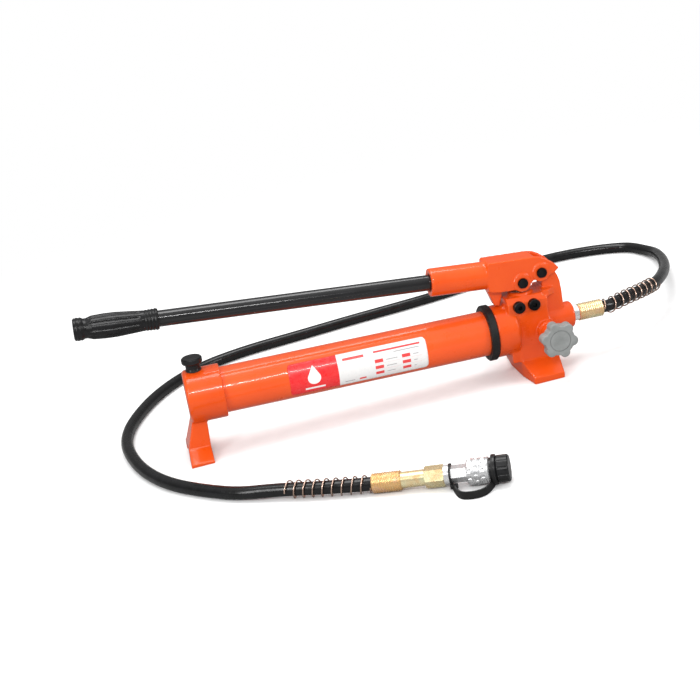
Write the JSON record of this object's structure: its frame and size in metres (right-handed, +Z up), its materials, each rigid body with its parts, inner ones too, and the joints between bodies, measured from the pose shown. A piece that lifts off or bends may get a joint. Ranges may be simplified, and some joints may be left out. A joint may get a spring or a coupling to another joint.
{
  "type": "hydraulic hand pump",
  "caption": "Lever-operated hydraulic hand pump: tubular oil reservoir on cast feet, pivoting handle, release knob and a flexible pressure hose ending in a quick coupler with dust cap.",
  "frame": {"origin": "on the floor, under the middle of the pump head's foot", "axes": "+Z up, +X towards the hose port, -Y the side the release knob is on; the reservoir leans 2 degrees down towards +X"},
  "size_m": [0.9031, 0.7303, 0.2142],
  "materials": {
    "orange_paint": "gloss",
    "black_paint": "gloss",
    "black_grip": "matte",
    "black_rubber": "matte",
    "label_film": "gloss",
    "black_plastic": "satin",
    "black_oxide": "black oxide",
    "bright_steel": "ground",
    "hard_chrome": "polished",
    "zinc_plate": "bright zinc",
    "yellow_zinc": "yellow passivated zinc",
    "spring_wire": "passivated",
    "bronze": "machined",
    "grey_knob": "satin",
    "hose_cover": "gloss",
    "seal_rubber": "matte"
  },
  "bodies": {
    "frame": {"pump_head": "orange_paint", "rear_cover": "orange_paint", "reservoir_tube": "orange_paint", "retaining_ring": "black_rubber", "name_label": "label_film", "front_tank_seal": "seal_rubber", "rear_tank_seal": "seal_rubber", "tie_rod": "zinc_plate", "tie_rod_nut": "zinc_plate", "tie_rod_washer": "zinc_plate", "gland_bush": "bronze", "plunger_packing": "seal_rubber", "wiper_ring": "seal_rubber", "valve_plugs": "black_oxide", "discharge_spring": "spring_wire", "relief_spring": "spring_wire", "suction_tube": "bright_steel", "suction_filter": "bronze", "release_gland": "zinc_plate", "hose_nipple": "zinc_plate", "pump_ferrule": "yellow_zinc", "coupler_ferrule": "yellow_zinc", "pump_guard_spring": "spring_wire", "coupler_guard_spring": "spring_wire", "pressure_hose": "hose_cover", "coupler_sleeve": "yellow_zinc", "coupler_adapter": "yellow_zinc", "coupler_body": "zinc_plate", "coupler_spring": "spring_wire", "cap_tether": "black_rubber"},
    "handle": {"handle_bracket": "orange_paint", "handle_tube": "black_paint", "handle_grip": "black_grip", "handle_set_screw": "black_oxide", "fulcrum_pin": "black_oxide", "plunger_pin": "black_oxide", "pin_clips": "black_oxide"},
    "plunger": {"plunger": "hard_chrome"},
    "breather_lift": {"breather_seal": "seal_rubber"},
    "breather": {"breather_plug": "black_plastic"},
    "release_lift": {"release_seal": "seal_rubber"},
    "release": {"release_spindle": "bright_steel", "release_knob": "grey_knob", "knob_pin": "bright_steel"},
    "release_ball": {"release_ball": "bright_steel"},
    "discharge_ball": {"discharge_ball": "bright_steel"},
    "relief_ball": {"relief_ball": "bright_steel"},
    "suction_ball": {"suction_ball": "bright_steel"},
    "collar": {"coupler_collar": "zinc_plate"},
    "cap": {"dust_cap": "black_plastic"},
    "poppet": {"coupler_poppet": "bright_steel"}
  },
  "joints": [
    {"name": "handle_stroke", "type": "hinge", "parent": "frame", "child": "handle", "pos_m": [0.01817, 0, 0.13521], "axis": [0, 1, 0], "range_deg": [0, 50]},
    {"name": "plunger_stroke", "type": "slide", "parent": "frame", "child": "plunger", "axis": [0.0349, 0, 0.9994], "range_m": [0, 0.0245]},
    {"name": "breather_rise", "type": "slide", "parent": "frame", "child": "breather_lift", "axis": [0.0349, 0, 0.9994], "range_m": [0, 0.006]},
    {"name": "breather_turn", "type": "hinge", "parent": "breather_lift", "child": "breather", "pos_m": [-0.44833, 0, 0.11768], "axis": [0.0349, 0, 0.9994], "range_deg": [0, 1081]},
    {"name": "release_travel", "type": "slide", "parent": "frame", "child": "release_lift", "axis": [0, -1, 0], "range_m": [0, 0.0015]},
    {"name": "release_turn", "type": "hinge", "parent": "release_lift", "child": "release", "pos_m": [0.01337, -0.04, 0.05803], "axis": [0, -1, 0], "range_deg": [0, 361]},
    {"name": "release_ball_lift", "type": "slide", "parent": "frame", "child": "release_ball", "axis": [0, -1, 0], "range_m": [0, 0.0013]},
    {"name": "discharge_ball_lift", "type": "slide", "parent": "frame", "child": "discharge_ball", "axis": [0, -1, 0], "range_m": [0, 0.0012], "deforming": ["discharge_spring"]},
    {"name": "relief_ball_lift", "type": "slide", "parent": "frame", "child": "relief_ball", "axis": [0, -1, 0], "range_m": [0, 0.0012], "deforming": ["relief_spring"]},
    {"name": "suction_ball_lift", "type": "slide", "parent": "frame", "child": "suction_ball", "axis": [0.9994, 0, -0.0349], "range_m": [0, 0.0015]},
    {"name": "collar_turn", "type": "hinge", "parent": "frame", "child": "collar", "pos_m": [-0.17393, -0.28363, 0.0164], "axis": [0.9272, -0.3727, 0.0366], "continuous": true},
    {"name": "cap_pull", "type": "slide", "parent": "frame", "child": "cap", "axis": [0.9272, -0.3727, 0.0366], "range_m": [0, 0.03], "deforming": ["cap_tether"]},
    {"name": "poppet_press", "type": "slide", "parent": "frame", "child": "poppet", "axis": [-0.9272, 0.3727, -0.0366], "range_m": [0, 0.0035], "deforming": ["coupler_spring"]}
  ],
  "couplings": [
    {"joint": "plunger_stroke", "follows": "handle_stroke", "m_per_rad": 0.0275},
    {"joint": "breather_turn", "follows": "breather_rise", "rad_per_m": 3141.6},
    {"joint": "release_turn", "follows": "release_travel", "rad_per_m": 4188.8},
    {"joint": "release_ball_lift", "follows": "release_travel", "ratio": 0.84}
  ]
}
